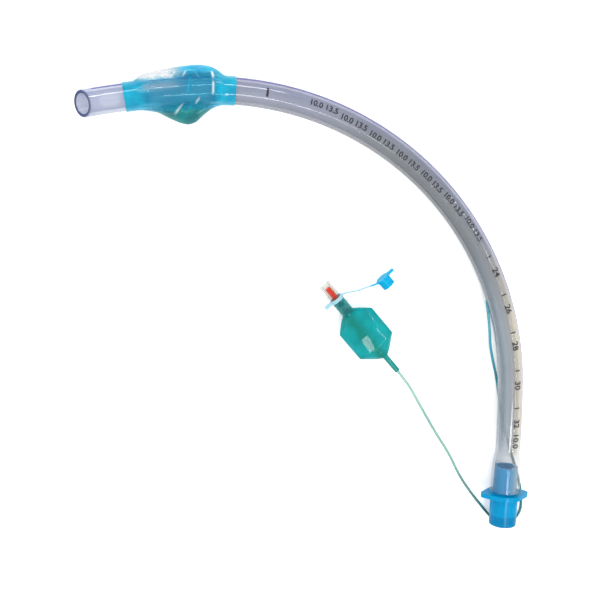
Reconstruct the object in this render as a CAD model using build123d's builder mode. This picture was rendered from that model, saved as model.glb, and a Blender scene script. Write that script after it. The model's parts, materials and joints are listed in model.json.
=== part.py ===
"""Cuffed breathing tube that lies on its side, with its connector, inflation line and pilot balloon.

The tube is a smooth curve in one plane. It rests on the floor at the connector's flange, at the
lowest part of its bend and at the cuff, so that plane leans a little. X and Y lie on the floor
and +Z is up. The free inflation line leaves a notch in the tube's wall and ends in the balloon.
"""

import os
from math import cos, degrees, pi, radians, sin, tan

from build123d import *

# Driving dimensions, in millimetres and degrees

# Where the tube lies on the floor
machine_end_x = 106.68
machine_end_y = -105.41
machine_end_heading = 87.7
floor_gap = 0.05

# Tube, measured along its axis from the machine end
tube_diameter = 13.5
tube_wall = 1.75
straight_length = 24.0
upper_bend_radius = 615.0
upper_bend_length = 36.6
main_bend_radius = 160.7
main_bend_length = 259.6
tip_bend_radius = 475.0
tip_bend_length = 53.5
bend_rest_share = 0.6

# Machine end of the tube, stretched over the connector
stretched_wall = 1.5
stretch_run_out = 10.0

# Bevelled tip and side eye
bevel_off_square = 32.0
bevel_rim_radius = 0.4
eye_length = 10.0
eye_width = 7.0
eye_from_tip = 13.5

# Cuff of thin film
cuff_from_tip = 20.6
cuff_length = 54.6
distal_collar_length = 6.2
proximal_collar_length = 5.6
cuff_film = 0.35
cuff_sag = 1.5
cuff_crown = 1.0
cuff_shoulder_rise = 0.6
cuff_gathers = 26
gather_depth = 0.5
wing_droop = 0.55
shoulder_share = 0.71
haunch_share = 0.62
haunch_wing_share = 0.3
haunch_depth_share = 0.9
slack_depth_share = 0.12

# Inflation lumen in the tube's wall
lumen_diameter = 0.8
lumen_inner_wall = 0.5
cuff_port_diameter = 1.6
notch_from_machine_end = 111.0
notch_angle = 10.0
notch_depth_in_wall = 1.0

# Connector with a 15 mm cone
cone_end_diameter = 15.0
cone_taper = 1 / 40
cone_length = 16.0
flange_half_height = 10.0
flange_span = 27.2
flange_end_radius = 3.0
flange_thickness = 2.4
neck_length = 1.2
spigot_length = 14.0
spigot_diameter = 13.2
spigot_taper = 0.6
connector_mouth_diameter = 12.4
connector_bore_diameter = 9.8
mouth_depth = 12.0
mouth_run_in = 2.0
mouth_rim_radius = 0.4
step_from_end = 6.0
step_height = 0.25

# Clearances
glue_gap = 0.1
running_gap = 0.35
stroke_gap = 0.2

# Inflation line
line_diameter = 1.5
line_bore = 0.8

# Pilot balloon and valve, measured along their axis from the valve's mouth
valve_mouth_x = 4.88
valve_mouth_y = 12.71
valve_heading = -50.1
neck_start = 11.4
neck_end = 20.0
neck_wall = 0.4
balloon_shoulder = 26.5
balloon_middle = 35.5
balloon_hip = 44.5
balloon_end = 52.3
balloon_half_width = 10.5
balloon_half_height = 4.2
balloon_shoulder_height = 3.5
balloon_film = 0.4
seam_width = 0.8
seam_thickness = 0.6
tail_end = 63.0
tail_diameter = 2.9
tail_grip = 5.0

# Valve housing
housing_diameter = 6.0
housing_length = 19.6
luer_mouth_diameter = 4.3
luer_taper = 0.06
luer_depth = 7.0
seat_thickness = 0.8
seat_hole_diameter = 2.0
chamber_diameter = 4.6
rim_diameter = 6.5
rim_length = 1.0

# Moving pieces in the valve
plunger_top = 2.5
plunger_diameter = 3.0
plunger_head_end = 10.8
stem_diameter = 1.3
stem_button_diameter = 1.9
stem_button_length = 0.6
plunger_travel = 1.2
seal_diameter = 3.8
seal_thickness = 1.5
seal_gap = 0.12
spring_radius = 1.55
spring_wire = 0.36
spring_turns = 4
retainer_thickness = 1.0
retainer_hole_diameter = 0.9
retainer_holes = 4

# Cap with its strap and ring
ring_start = 9.4
ring_width = 1.9
ring_wall = 0.7
ring_ear_reach = 7.9
ring_ear_width = 1.4
strap_thickness = 0.7
strap_height = 1.6
cap_centre_x = 35.98
cap_centre_y = 15.71
cap_heading = -47.6
cap_disc_diameter = 8.0
cap_disc_thickness = 1.2
cap_skirt_diameter = 7.1
cap_skirt_length = 4.6
cap_skirt_wall = 0.9
cap_pin_diameter = 3.9
cap_tab_length = 3.4
cap_tab_width = 2.6
cap_tab_overlap = 1.0
strap_lie = [(22.2, 8.98), (29.1, 11.18)]
strap_arrival_heading = 37.3
strap_arrival_pull = 1.2

# Route of the free inflation line, chosen by hand, from the notch to the balloon
line_route = [
    (93.02, 2.42, 7.6),
    (95.0, -9.92, 7.87),
    (96.6, -22.32, 5.4),
    (100.0, -33.02, 1.7),
    (103.0, -43.52, 0.85),
    (104.6, -55.02, 0.85),
    (107.2, -67.02, 0.85),
    (110.9, -79.82, 0.85),
    (114.9, -92.42, 0.85),
    (118.5, -104.02, 0.85),
    (120.6, -114.42, 0.85),
    (120.0, -124.02, 0.85),
    (113.3, -130.22, 0.85),
    (105.1, -128.02, 0.85),
    (98.3, -120.02, 0.85),
    (89.7, -109.02, 0.85),
    (82.6, -98.12, 0.85),
    (77.1, -86.22, 0.85),
    (69.1, -73.82, 0.85),
    (62.3, -62.02, 0.85),
    (56.5, -51.82, 1.6),
    (50.9, -42.42, 4.25),
    (42.3, -32.12, 4.25),
]
bend_share = 0.45


def lies_flat(plane, along, across, up):
    """A point given along a plane's x axis, across on its y axis and up its z axis."""
    return plane.origin + plane.x_dir * along + plane.y_dir * across + plane.z_dir * up


# Sizes that follow from the driving dimensions
tube_radius = tube_diameter / 2
bore_radius = tube_radius - tube_wall
tube_length = straight_length + upper_bend_length + main_bend_length + tip_bend_length
spigot_radius = spigot_diameter / 2
collar_radius = tube_radius + glue_gap + cuff_film
line_radius = line_diameter / 2
housing_radius = housing_diameter / 2
assembly_height = balloon_half_height + floor_gap


def tube_path_on(plane):
    """The tube's axis from the machine end to the tip: a straight, then three tangent bends."""
    bends = [
        (upper_bend_radius, upper_bend_length),
        (main_bend_radius, main_bend_length),
        (tip_bend_radius, tip_bend_length),
    ]
    with BuildLine(plane) as path:
        run = Line((0, 0), (straight_length, 0))
        for radius, length in bends:
            turn = degrees(length / radius)
            run = JernArc(run @ 1, run % 1, radius, turn)
    return path.wire()


# The plane in which the tube lies, through its three seats on the floor
heading = Vector(cos(radians(machine_end_heading)), sin(radians(machine_end_heading)), 0)
flat_plane = Plane(origin=(machine_end_x, machine_end_y, 0), x_dir=heading, z_dir=(0, 0, 1))
flat_path = tube_path_on(flat_plane)
bend_rest = straight_length + upper_bend_length + bend_rest_share * main_bend_length
cuff_rest = tube_length - cuff_from_tip - cuff_length / 2
flange_seat = flat_plane.origin + Vector(0, 0, flange_half_height + floor_gap)
bend_seat = flat_path @ (bend_rest / tube_length) + Vector(0, 0, tube_radius + 2 * floor_gap)
cuff_bottom = collar_radius + cuff_sag
cuff_seat = flat_path @ (cuff_rest / tube_length) + Vector(0, 0, cuff_bottom + floor_gap)
lean = (bend_seat - flange_seat).cross(cuff_seat - flange_seat).normalized()
tube_plane = Plane(origin=flange_seat, x_dir=heading - lean * heading.dot(lean), z_dir=lean)
tube_axis = tube_path_on(tube_plane)


def station(distance):
    """The plane square to the tube at a distance from the machine end, with y up."""
    share = distance / tube_length
    along = tube_axis % share
    return Plane(origin=tube_axis @ share, x_dir=tube_plane.z_dir.cross(along), z_dir=along)


def axis_between(start, end):
    """The part of the tube's axis between two distances from the machine end."""
    return tube_axis.trim(start / tube_length, end / tube_length)


# Tube
spigot_tip_radius = spigot_radius - spigot_taper / 2
stretch_length = spigot_length + stretch_run_out
stretched_bore = spigot_radius + glue_gap
stretched_tip_bore = spigot_tip_radius + glue_gap
machine_profile = Plane(origin=tube_plane.origin, x_dir=tube_plane.x_dir, z_dir=tube_plane.z_dir)
eye_middle = tube_length - eye_from_tip
eye_station = station(eye_middle)
eye_plane = Plane(origin=eye_station.origin, x_dir=eye_station.z_dir, z_dir=-tube_plane.z_dir)
tip = station(tube_length)
bevel_angle = radians(bevel_off_square)
tip_reach = tube_radius * tan(bevel_angle)
bevel_facing = tip.z_dir * cos(bevel_angle) + tube_plane.z_dir * sin(bevel_angle)
bevel = Plane(origin=tip.origin, x_dir=tip.x_dir, z_dir=bevel_facing)
lumen_offset = bore_radius + lumen_inner_wall + lumen_diameter / 2
cuff_port = tube_length - cuff_from_tip - cuff_length / 2
port_station = station(cuff_port)
port_plane = Plane(
    origin=port_station.origin + port_station.x_dir * lumen_offset,
    x_dir=port_station.z_dir,
    z_dir=port_station.x_dir,
)
notch_station = station(notch_from_machine_end)
notch_direction = (
    -notch_station.z_dir * cos(radians(notch_angle))
    + notch_station.x_dir * sin(radians(notch_angle))
)
notch_offset = tube_radius - notch_depth_in_wall + line_radius
notch_plane = Plane(
    origin=notch_station.origin + notch_station.x_dir * notch_offset,
    x_dir=tube_plane.z_dir,
    z_dir=notch_direction,
)

with BuildPart() as tube:
    with BuildSketch(machine_profile):
        with BuildLine():
            outer = Line(
                (0, stretched_bore + stretched_wall),
                (spigot_length, stretched_tip_bore + stretched_wall),
            )
            outer_end = (stretch_length, tube_radius)
            Spline(outer @ 1, outer_end, tangents=[outer % 1, (1, 0)])
            Line(outer_end, (stretch_length, bore_radius))
            inner = Line((0, stretched_bore), (spigot_length, stretched_tip_bore))
            Spline(inner @ 1, (stretch_length, bore_radius), tangents=[inner % 1, (1, 0)])
            Line(inner @ 0, outer @ 0)
        make_face()
    revolve(axis=Axis(tube_plane.origin, tube_plane.x_dir))
    with BuildSketch(station(stretch_length)):
        Circle(tube_radius)
        Circle(bore_radius, mode=Mode.SUBTRACT)
    sweep(path=axis_between(stretch_length, tube_length))
    with BuildSketch(tip):
        Circle(tube_radius)
        Circle(bore_radius, mode=Mode.SUBTRACT)
    extrude(amount=tip_reach)
    split(bisect_by=bevel, keep=Keep.BOTTOM)
    rim = edges().filter_by_position(Axis(bevel.origin, bevel.z_dir), -0.01, 0.01)
    fillet(rim, bevel_rim_radius)
    with BuildSketch(eye_plane):
        SlotOverall(eye_length, eye_width)
    extrude(amount=tube_diameter, mode=Mode.SUBTRACT)
    with BuildSketch(notch_station):
        with Locations((lumen_offset, 0)):
            Circle(lumen_diameter / 2)
    sweep(path=axis_between(notch_from_machine_end, cuff_port), mode=Mode.SUBTRACT)
    with BuildSketch(port_plane):
        Circle(cuff_port_diameter / 2)
    extrude(amount=tube_wall, mode=Mode.SUBTRACT)
    with BuildSketch(notch_plane):
        Circle(line_radius + glue_gap)
    extrude(amount=tube_diameter, mode=Mode.SUBTRACT)
tube.part.label = "tube"

# Cuff: film sleeve between two collars, slack, with a wing of film on each side
cuff_tip_side = tube_length - cuff_from_tip
sleeve_start = cuff_tip_side - distal_collar_length
sleeve_end = cuff_tip_side - cuff_length + proximal_collar_length
sleeve_length = sleeve_start - sleeve_end
cuff_shape = [
    (0.0, 0.0, 0.0, 0.0, 0.0),
    (0.04, 1.9, 0.2, 0.4, 1.0),
    (0.12, 3.1, 0.8, 0.8, 1.0),
    (0.22, 3.7, 1.9, 1.0, 0.6),
    (0.34, 4.4, 5.2, 1.0, 0.2),
    (0.46, 5.0, 7.9, 1.0, 0.6),
    (0.56, 5.2, 9.2, 1.0, 0.1),
    (0.66, 5.5, 8.2, 1.0, 0.5),
    (0.76, 5.4, 4.8, 1.0, 0.2),
    (0.87, 4.6, 1.6, 0.9, 0.8),
    (0.95, 2.3, 0.3, 0.5, 1.0),
    (1.0, 0.0, 0.0, 0.0, 0.0),
]


def cuff_outline(plane, outer_wing, inner_wing, fullness, gathers, inset):
    """One loop of film round the tube: shoulders, drooping wings, a side on the floor, gathers."""
    ring = collar_radius - inset
    top = ring + cuff_crown * fullness
    bottom = ring + (plane.origin.Z - floor_gap - collar_radius) * fullness
    corner = ring * shoulder_share
    shoulder = corner + cuff_shoulder_rise * fullness
    haunch = ring * haunch_share
    low = bottom * (haunch_depth_share - slack_depth_share * (1 - fullness))
    droop = -ring * wing_droop * fullness
    right = ring + inner_wing
    left = ring + outer_wing
    points = [
        (0, top),
        (corner, shoulder),
        (right, droop),
        (haunch + haunch_wing_share * inner_wing, -low),
        (0, -bottom),
        (-haunch - haunch_wing_share * outer_wing, -low),
        (-left, droop),
        (-corner, shoulder),
    ]
    smooth_loop = Spline(points, periodic=True, mode=Mode.PRIVATE)
    gathered = []
    for number in range(cuff_gathers):
        point = smooth_loop @ (number / cuff_gathers)
        pull = gather_depth * fullness * gathers * (number % 2)
        gathered.append(point - point.normalized() * pull)
    return Spline(gathered, periodic=True)


cuff_loops = [(cuff_tip_side, 0.0, 0.0, 0.0, 0.0)]
for share, outer_wing, inner_wing, fullness, gathers in cuff_shape:
    distance = sleeve_start - share * sleeve_length
    cuff_loops.append((distance, outer_wing, inner_wing, fullness, gathers))
cuff_loops.append((cuff_tip_side - cuff_length, 0.0, 0.0, 0.0, 0.0))

with BuildPart() as cuff:
    for inset, mode in ((0, Mode.ADD), (cuff_film, Mode.SUBTRACT)):
        for distance, outer_wing, inner_wing, fullness, gathers in cuff_loops:
            loop_plane = station(distance)
            with BuildSketch(loop_plane):
                with BuildLine():
                    cuff_outline(loop_plane, outer_wing, inner_wing, fullness, gathers, inset)
                make_face()
        loft(ruled=True, mode=mode)
cuff.part.label = "cuff"

# Connector: spigot in the tube, winged flange and 15 mm cone
cone_base_radius = cone_end_diameter / 2 + cone_length * cone_taper / 2
flange_face = -neck_length
flange_back = flange_face - flange_thickness
connector_end = flange_back - cone_length
connector_bore = connector_bore_diameter / 2
mouth_radius = connector_mouth_diameter / 2
flange_plane = Plane(
    origin=lies_flat(tube_plane, flange_back, 0, 0),
    x_dir=tube_plane.y_dir,
    z_dir=tube_plane.x_dir,
)

with BuildPart() as connector:
    with BuildSketch(machine_profile):
        with BuildLine():
            Polyline(
                (spigot_length, connector_bore),
                (spigot_length, spigot_tip_radius),
                (0, spigot_radius),
                (flange_back, spigot_radius),
                (flange_back, cone_base_radius),
                (connector_end, cone_end_diameter / 2),
                (connector_end, mouth_radius),
                (connector_end + step_from_end, mouth_radius),
                (connector_end + step_from_end, mouth_radius - step_height),
                (connector_end + mouth_depth - mouth_run_in, mouth_radius - step_height),
                (connector_end + mouth_depth, connector_bore),
                (spigot_length, connector_bore),
            )
        make_face()
    revolve(axis=Axis(tube_plane.origin, tube_plane.x_dir))
    with BuildSketch(flange_plane):
        Circle(flange_half_height)
        with Locations((flange_span / 2 - flange_end_radius, 0), (flange_end_radius - flange_span / 2, 0)):
            Circle(flange_end_radius)
        make_hull()
        Circle(connector_bore, mode=Mode.SUBTRACT)
    extrude(amount=flange_thickness)
    mouth_edges = edges().filter_by(GeomType.CIRCLE).group_by(Axis(tube_plane.origin, tube_plane.x_dir))[0]
    fillet(mouth_edges, mouth_rim_radius)
connector.part.label = "connector"

# Free inflation line
route = [Vector(*point) for point in line_route]
bend_radii = []
for before, corner, after in zip(route, route[1:], route[2:]):
    turn = (corner - before).get_angle(after - corner)
    shorter = min((corner - before).length, (after - corner).length)
    bend_radii.append(bend_share * shorter / tan(radians(turn) / 2))
first_run = (route[1] - route[0]).normalized()
line_start = Plane(origin=route[0], x_dir=(0, 0, 1), z_dir=first_run)

with BuildPart() as inflation_line:
    with BuildLine() as line_path:
        FilletPolyline(*route, radius=bend_radii)
    with BuildSketch(line_start):
        Circle(line_radius)
    sweep(path=line_path.wire())
inflation_line.part.label = "inflation_line"

# Pilot balloon: neck, flat six-sided pouch with welded seams, and tail
valve_along = Vector(cos(radians(valve_heading)), sin(radians(valve_heading)), 0)
valve_across = Vector(0, 0, 1).cross(valve_along)
valve_mouth = Vector(valve_mouth_x, valve_mouth_y, assembly_height)
valve_plane = Plane(origin=valve_mouth, x_dir=valve_across, z_dir=valve_along)
valve_profile = Plane(origin=valve_mouth, x_dir=valve_along, z_dir=-valve_across)
valve_axis = Axis(valve_mouth, valve_along)
neck_bore = housing_radius + glue_gap
neck_radius = neck_bore + neck_wall
tail_radius = tail_diameter / 2
pouch_shape = [
    (neck_end, neck_radius, neck_radius),
    (balloon_shoulder, balloon_half_width, balloon_shoulder_height),
    (balloon_middle, balloon_half_width, balloon_half_height),
    (balloon_hip, balloon_half_width, balloon_shoulder_height),
    (balloon_end, tail_radius, tail_radius),
]

with BuildPart() as pilot_balloon:
    with BuildSketch(valve_plane.offset(neck_start)):
        Circle(neck_radius)
    extrude(amount=neck_end - neck_start)
    with BuildSketch(valve_plane.offset(balloon_end)):
        Circle(tail_radius)
    extrude(amount=tail_end - balloon_end)
    for distance, half_width, half_height in pouch_shape:
        with BuildSketch(valve_plane.offset(distance)):
            Ellipse(half_width, half_height)
    loft(ruled=True)
    seam_plane = Plane(
        origin=valve_mouth - Vector(0, 0, seam_thickness / 2),
        x_dir=valve_along,
        z_dir=(0, 0, 1),
    )
    with BuildSketch(seam_plane):
        with BuildLine():
            Polyline(
                (neck_end, neck_radius + seam_width),
                (balloon_shoulder, balloon_half_width + seam_width),
                (balloon_hip, balloon_half_width + seam_width),
                (balloon_end, tail_radius + seam_width),
                (balloon_end, -tail_radius - seam_width),
                (balloon_hip, -balloon_half_width - seam_width),
                (balloon_shoulder, -balloon_half_width - seam_width),
                (neck_end, -neck_radius - seam_width),
                close=True,
            )
        make_face()
    extrude(amount=seam_thickness)
    for distance, half_width, half_height in pouch_shape:
        with BuildSketch(valve_plane.offset(distance)):
            Ellipse(half_width - balloon_film, half_height - balloon_film)
    loft(ruled=True, mode=Mode.SUBTRACT)
    with BuildSketch(valve_plane.offset(neck_start)):
        Circle(neck_bore)
    extrude(amount=neck_end - neck_start, mode=Mode.SUBTRACT)
    with BuildSketch(valve_plane.offset(tail_end - tail_grip)):
        Circle(line_radius + glue_gap)
    extrude(amount=tail_grip, mode=Mode.SUBTRACT)
    with BuildSketch(valve_plane.offset(balloon_end)):
        Circle(line_bore / 2)
    extrude(amount=tail_end - balloon_end, mode=Mode.SUBTRACT)
pilot_balloon.part.label = "pilot_balloon"

# Valve housing with its luer mouth, guide, seat and spring chamber
luer_end_radius = (luer_mouth_diameter - luer_depth * luer_taper) / 2
guide_radius = plunger_diameter / 2 + running_gap
seat_start = plunger_head_end + plunger_travel + stroke_gap
seat_end = seat_start + seat_thickness
chamber_radius = chamber_diameter / 2

with BuildPart() as valve_housing:
    with BuildSketch(valve_profile):
        with BuildLine():
            Polyline(
                (0, luer_mouth_diameter / 2),
                (0, rim_diameter / 2),
                (rim_length, rim_diameter / 2),
                (rim_length, housing_radius),
                (housing_length, housing_radius),
                (housing_length, chamber_radius),
                (seat_end, chamber_radius),
                (seat_end, seat_hole_diameter / 2),
                (seat_start, seat_hole_diameter / 2),
                (seat_start, guide_radius),
                (luer_depth, guide_radius),
                (luer_depth, luer_end_radius),
                close=True,
            )
        make_face()
    revolve(axis=valve_axis)
valve_housing.part.label = "valve_housing"

# Plunger: red head, stem and button that holds the seal
seal_start = seat_end + seal_gap
seal_end = seal_start + seal_thickness
plunger_end = seal_end + glue_gap + stem_button_length

with BuildPart() as valve_plunger:
    with BuildSketch(valve_plane.offset(plunger_top)):
        Circle(plunger_diameter / 2)
    extrude(amount=plunger_head_end - plunger_top)
    fillet(edges().group_by(valve_axis)[0], plunger_diameter / 8)
    with BuildSketch(valve_plane.offset(plunger_head_end)):
        Circle(stem_diameter / 2)
    extrude(amount=plunger_end - plunger_head_end)
    with BuildSketch(valve_plane.offset(plunger_end)):
        Circle(stem_button_diameter / 2)
    extrude(amount=-stem_button_length)
valve_plunger.part.label = "valve_plunger"

with BuildPart() as valve_seal:
    with BuildSketch(valve_plane.offset(seal_start)):
        Circle(seal_diameter / 2)
        Circle(stem_diameter / 2 + glue_gap / 2, mode=Mode.SUBTRACT)
    extrude(amount=seal_thickness)
    chamfer(edges().group_by(valve_axis)[0].sort_by(SortBy.RADIUS)[-1], seal_thickness / 4)
valve_seal.part.label = "valve_seal"

# Retainer behind the spring
retainer_start = housing_length - retainer_thickness
retainer_radius = chamber_radius - glue_gap

with BuildPart() as valve_retainer:
    with BuildSketch(valve_plane.offset(retainer_start)):
        Circle(retainer_radius)
        with PolarLocations(retainer_radius / 2, retainer_holes):
            Circle(retainer_hole_diameter / 2, mode=Mode.SUBTRACT)
    extrude(amount=retainer_thickness)
valve_retainer.part.label = "valve_retainer"

# Spring between the seal and the retainer
spring_start = seal_end + spring_wire / 2 + glue_gap
spring_end = retainer_start - spring_wire / 2 - glue_gap
spring_length = spring_end - spring_start

with BuildPart() as valve_spring:
    with BuildLine():
        coil = Helix(
            spring_length / spring_turns,
            spring_length,
            spring_radius,
            center=valve_mouth + valve_along * spring_start,
            direction=valve_along,
        )
    with BuildSketch(Plane(origin=coil @ 0, z_dir=coil % 0)):
        Circle(spring_wire / 2)
    sweep(path=coil)
valve_spring.part.label = "valve_spring"

# Cap, strap and ring, moulded as one piece
ring_bore = housing_radius + glue_gap
ring_radius = ring_bore + ring_wall
cap_along = Vector(cos(radians(cap_heading)), sin(radians(cap_heading)), 0)
cap_across = Vector(0, 0, 1).cross(cap_along)
cap_height = cap_disc_diameter / 2 + floor_gap
cap_centre = Vector(cap_centre_x, cap_centre_y, cap_height)
cap_plane = Plane(origin=cap_centre, x_dir=cap_across, z_dir=cap_along)
ring_middle = lies_flat(valve_plane, 0, 0, ring_start + ring_width / 2)
strap_start = ring_middle + valve_across * (ring_radius - strap_thickness / 2)
strap_end = cap_centre - cap_across * (cap_disc_diameter / 2 - strap_thickness)
strap_end += cap_along * cap_disc_thickness / 2
strap_arrival = Vector(1, 0, 0).rotate(Axis.Z, strap_arrival_heading) * strap_arrival_pull

with BuildPart() as cap_and_strap:
    with BuildSketch(valve_plane.offset(ring_start)):
        Circle(ring_radius)
        with Locations((-ring_ear_reach / 2, 0)):
            Rectangle(ring_ear_reach, ring_ear_width)
        Circle(ring_bore, mode=Mode.SUBTRACT)
    extrude(amount=ring_width)
    with BuildLine():
        strap_path = Spline(
            strap_start,
            (*strap_lie[0], assembly_height),
            (*strap_lie[1], cap_height),
            strap_end,
            tangents=[valve_across, strap_arrival],
        )
    with BuildSketch(Plane(origin=strap_path @ 0, x_dir=(0, 0, 1), z_dir=strap_path % 0)):
        Rectangle(strap_height, strap_thickness)
    sweep(path=strap_path)
    with BuildSketch(cap_plane):
        Circle(cap_disc_diameter / 2)
        with Locations(((cap_disc_diameter + cap_tab_length - cap_tab_overlap) / 2, 0)):
            Rectangle(cap_tab_length + cap_tab_overlap, cap_tab_width)
    extrude(amount=cap_disc_thickness)
    with BuildSketch(cap_plane.offset(cap_disc_thickness)):
        Circle(cap_skirt_diameter / 2)
        Circle(cap_skirt_diameter / 2 - cap_skirt_wall, mode=Mode.SUBTRACT)
        Circle(cap_pin_diameter / 2)
    extrude(amount=cap_skirt_length)
cap_and_strap.part.label = "cap_and_strap"

# One file for each piece
pieces = [
    tube,
    cuff,
    connector,
    inflation_line,
    pilot_balloon,
    valve_housing,
    valve_plunger,
    valve_seal,
    valve_retainer,
    valve_spring,
    cap_and_strap,
]
os.makedirs("parts", exist_ok=True)
for piece in pieces:
    export_step(piece.part, f"parts/{piece.part.label}.step")

line_length = line_path.wire().length
section = pi * line_radius**2
print("bend radii of the line:", [round(radius, 1) for radius in bend_radii])
print("length of the line:", round(line_length, 1))
print("volume of the line over section times length:", inflation_line.part.volume / section / line_length)
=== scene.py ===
import json
import math

import bmesh
import bpy
import numpy as np
from bpy.props import FloatProperty, FloatVectorProperty, IntProperty, PointerProperty
from mathutils import Matrix
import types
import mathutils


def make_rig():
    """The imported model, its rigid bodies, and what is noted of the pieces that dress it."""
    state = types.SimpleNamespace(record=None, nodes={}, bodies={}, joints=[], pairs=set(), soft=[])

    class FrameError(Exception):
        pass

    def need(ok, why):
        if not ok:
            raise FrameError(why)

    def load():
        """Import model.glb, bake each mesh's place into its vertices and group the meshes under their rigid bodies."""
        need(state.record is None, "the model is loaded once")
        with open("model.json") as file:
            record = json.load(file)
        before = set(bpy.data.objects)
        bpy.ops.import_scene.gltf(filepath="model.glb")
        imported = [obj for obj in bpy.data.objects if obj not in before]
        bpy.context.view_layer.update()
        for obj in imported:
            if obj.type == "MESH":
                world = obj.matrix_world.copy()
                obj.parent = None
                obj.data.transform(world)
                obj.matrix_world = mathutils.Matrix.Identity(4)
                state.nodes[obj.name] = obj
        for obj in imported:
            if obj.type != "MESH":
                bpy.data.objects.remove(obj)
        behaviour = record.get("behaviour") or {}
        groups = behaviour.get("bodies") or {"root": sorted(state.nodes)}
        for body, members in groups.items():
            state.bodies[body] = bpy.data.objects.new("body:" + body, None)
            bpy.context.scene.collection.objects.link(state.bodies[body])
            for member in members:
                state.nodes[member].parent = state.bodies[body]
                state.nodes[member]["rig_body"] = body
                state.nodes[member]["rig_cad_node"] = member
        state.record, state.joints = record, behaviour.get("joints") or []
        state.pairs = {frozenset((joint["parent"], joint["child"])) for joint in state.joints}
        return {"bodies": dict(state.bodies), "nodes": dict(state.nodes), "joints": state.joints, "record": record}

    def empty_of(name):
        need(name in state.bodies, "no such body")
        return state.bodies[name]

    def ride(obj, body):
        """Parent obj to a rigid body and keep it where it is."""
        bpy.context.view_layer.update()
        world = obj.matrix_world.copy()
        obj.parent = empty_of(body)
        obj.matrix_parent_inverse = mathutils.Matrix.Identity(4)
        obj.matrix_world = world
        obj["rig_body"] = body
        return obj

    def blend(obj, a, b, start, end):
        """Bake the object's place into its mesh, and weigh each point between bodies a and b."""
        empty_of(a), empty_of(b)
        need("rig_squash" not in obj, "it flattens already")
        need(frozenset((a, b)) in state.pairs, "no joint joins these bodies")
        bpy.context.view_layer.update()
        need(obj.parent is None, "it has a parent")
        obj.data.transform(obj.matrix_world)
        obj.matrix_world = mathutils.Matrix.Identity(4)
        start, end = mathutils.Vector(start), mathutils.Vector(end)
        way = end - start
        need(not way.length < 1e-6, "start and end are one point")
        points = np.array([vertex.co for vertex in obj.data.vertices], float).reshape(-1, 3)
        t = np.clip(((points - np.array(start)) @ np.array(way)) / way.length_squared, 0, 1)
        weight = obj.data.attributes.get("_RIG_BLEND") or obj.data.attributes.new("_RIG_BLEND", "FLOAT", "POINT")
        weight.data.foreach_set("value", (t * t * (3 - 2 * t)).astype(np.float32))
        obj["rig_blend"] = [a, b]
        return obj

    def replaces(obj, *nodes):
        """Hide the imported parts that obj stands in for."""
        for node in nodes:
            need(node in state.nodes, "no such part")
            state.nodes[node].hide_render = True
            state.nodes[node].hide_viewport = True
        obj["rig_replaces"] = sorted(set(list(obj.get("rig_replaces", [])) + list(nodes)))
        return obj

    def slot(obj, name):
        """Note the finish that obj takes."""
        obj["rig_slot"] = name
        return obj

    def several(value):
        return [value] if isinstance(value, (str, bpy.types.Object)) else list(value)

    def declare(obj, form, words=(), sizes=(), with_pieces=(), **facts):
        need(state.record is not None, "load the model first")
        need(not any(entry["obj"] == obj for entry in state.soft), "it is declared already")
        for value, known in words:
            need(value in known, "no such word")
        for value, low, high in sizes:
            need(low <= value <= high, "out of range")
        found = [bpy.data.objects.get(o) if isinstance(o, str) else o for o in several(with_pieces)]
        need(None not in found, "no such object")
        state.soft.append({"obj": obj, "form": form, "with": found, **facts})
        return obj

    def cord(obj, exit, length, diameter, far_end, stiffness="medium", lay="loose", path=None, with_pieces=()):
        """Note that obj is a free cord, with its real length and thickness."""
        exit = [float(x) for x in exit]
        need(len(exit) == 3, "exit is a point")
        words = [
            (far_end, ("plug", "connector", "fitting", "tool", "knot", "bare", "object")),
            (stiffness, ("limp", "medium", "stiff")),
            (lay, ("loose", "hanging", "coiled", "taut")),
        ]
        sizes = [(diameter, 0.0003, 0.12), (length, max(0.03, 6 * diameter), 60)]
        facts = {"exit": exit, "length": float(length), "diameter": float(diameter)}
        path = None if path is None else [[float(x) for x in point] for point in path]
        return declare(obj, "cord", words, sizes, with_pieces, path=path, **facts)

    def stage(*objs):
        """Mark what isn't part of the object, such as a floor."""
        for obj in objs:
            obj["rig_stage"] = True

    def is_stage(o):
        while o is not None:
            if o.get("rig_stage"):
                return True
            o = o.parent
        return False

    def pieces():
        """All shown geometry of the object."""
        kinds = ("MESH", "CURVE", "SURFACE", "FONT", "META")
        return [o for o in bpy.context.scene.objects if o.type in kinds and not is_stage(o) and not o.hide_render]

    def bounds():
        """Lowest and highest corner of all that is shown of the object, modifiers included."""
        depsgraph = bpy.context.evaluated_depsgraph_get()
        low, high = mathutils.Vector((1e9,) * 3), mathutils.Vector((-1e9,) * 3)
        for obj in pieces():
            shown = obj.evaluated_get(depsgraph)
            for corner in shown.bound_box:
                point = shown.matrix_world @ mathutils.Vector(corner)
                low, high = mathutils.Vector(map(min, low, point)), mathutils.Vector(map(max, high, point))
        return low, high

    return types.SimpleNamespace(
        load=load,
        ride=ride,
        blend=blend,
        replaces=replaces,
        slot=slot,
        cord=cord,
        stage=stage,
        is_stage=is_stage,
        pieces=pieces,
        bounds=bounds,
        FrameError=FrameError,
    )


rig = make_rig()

bl_info = {
    "name": "Cuffed breathing tube",
    "version": (1, 0, 0),
    "blender": (4, 5, 0),
    "location": "View3D > Sidebar > Tube",
    "description": "Film, line, print and finishes of a cuffed breathing tube on its CAD frame",
    "category": "Object",
}

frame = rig.load()
cad_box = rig.bounds()

MM = 0.001

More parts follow.
